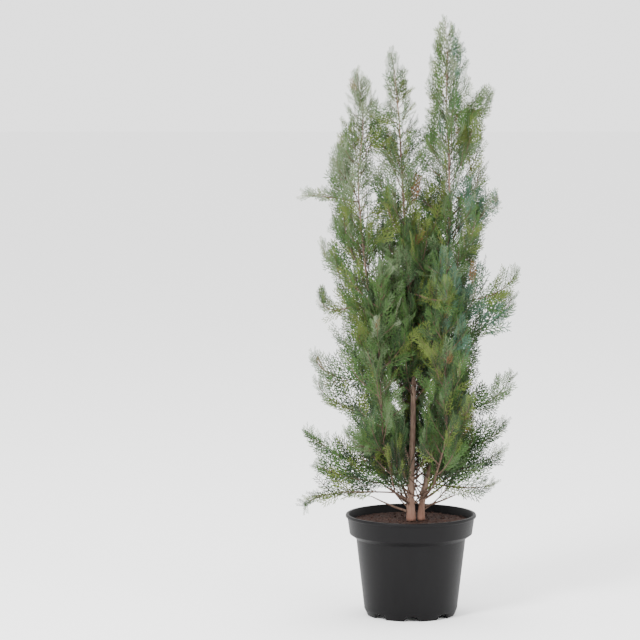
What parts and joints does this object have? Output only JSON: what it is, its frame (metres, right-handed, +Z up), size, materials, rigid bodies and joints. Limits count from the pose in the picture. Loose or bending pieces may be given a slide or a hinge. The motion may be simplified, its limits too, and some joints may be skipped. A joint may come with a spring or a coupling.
{
  "type": "potted columnaris lawson cypress",
  "caption": "Columnar cypress with upright leaders and flat grey-green sprays, standing in a round black nursery pot of soil",
  "frame": {"origin": "on the axis of the pot, at the flat underside that it stands on", "axes": "+Z up along the stems, +X to the plant's right as seen from the front, -Y towards the front"},
  "size_m": [0.4235, 0.3302, 1.184],
  "materials": {
    "pot": "matt moulded, charcoal black",
    "soil": "moist crumbly potting soil, very dark brown",
    "bark": "fibrous tan bark with lengthwise strips",
    "twig_bark": "thin grey-brown twig bark",
    "foliage": "matt scale leaves in flat sprays, grey-green to blue-green"
  },
  "bodies": {
    "root": {"back_leader": "bark", "bough_back_left": "twig_bark", "bough_back_right": "twig_bark", "bough_front_left": "twig_bark", "bough_front_right": "twig_bark", "bough_left": "twig_bark", "bough_low_left": "twig_bark", "bough_low_right": "twig_bark", "bough_right": "twig_bark", "foliage_back_1": "foliage", "foliage_back_2": "foliage", "foliage_back_3": "foliage", "foliage_front_left_1": "foliage", "foliage_front_left_2": "foliage", "foliage_front_right_1": "foliage", "foliage_front_right_2": "foliage", "foliage_left_1": "foliage", "foliage_left_2": "foliage", "foliage_left_3": "foliage", "foliage_left_4": "foliage", "foliage_left_5": "foliage", "foliage_middle_1": "foliage", "foliage_middle_2": "foliage", "foliage_middle_3": "foliage", "foliage_middle_4": "foliage", "foliage_right_1": "foliage", "foliage_right_2": "foliage", "foliage_right_3": "foliage", "foliage_right_4": "foliage", "foliage_right_5": "foliage", "left_leader": "bark", "plume_back_1": "foliage", "plume_back_2": "foliage", "plume_back_3": "foliage", "plume_back_4": "foliage", "plume_back_5": "foliage", "plume_front_1": "foliage", "plume_front_2": "foliage", "plume_front_3": "foliage", "plume_front_4": "foliage", "plume_left_1": "foliage", "plume_left_2": "foliage", "plume_left_3": "foliage", "plume_left_4": "foliage", "plume_left_5": "foliage", "plume_left_6": "foliage", "plume_left_7": "foliage", "plume_left_8": "foliage", "plume_right_1": "foliage", "plume_right_2": "foliage", "plume_right_3": "foliage", "plume_right_4": "foliage", "plume_right_5": "foliage", "plume_right_6": "foliage", "plume_right_7": "foliage", "plume_right_8": "foliage", "pot": "pot", "right_leader": "bark", "soil": "soil", "trunk": "bark"}
  },
  "joints": []
}
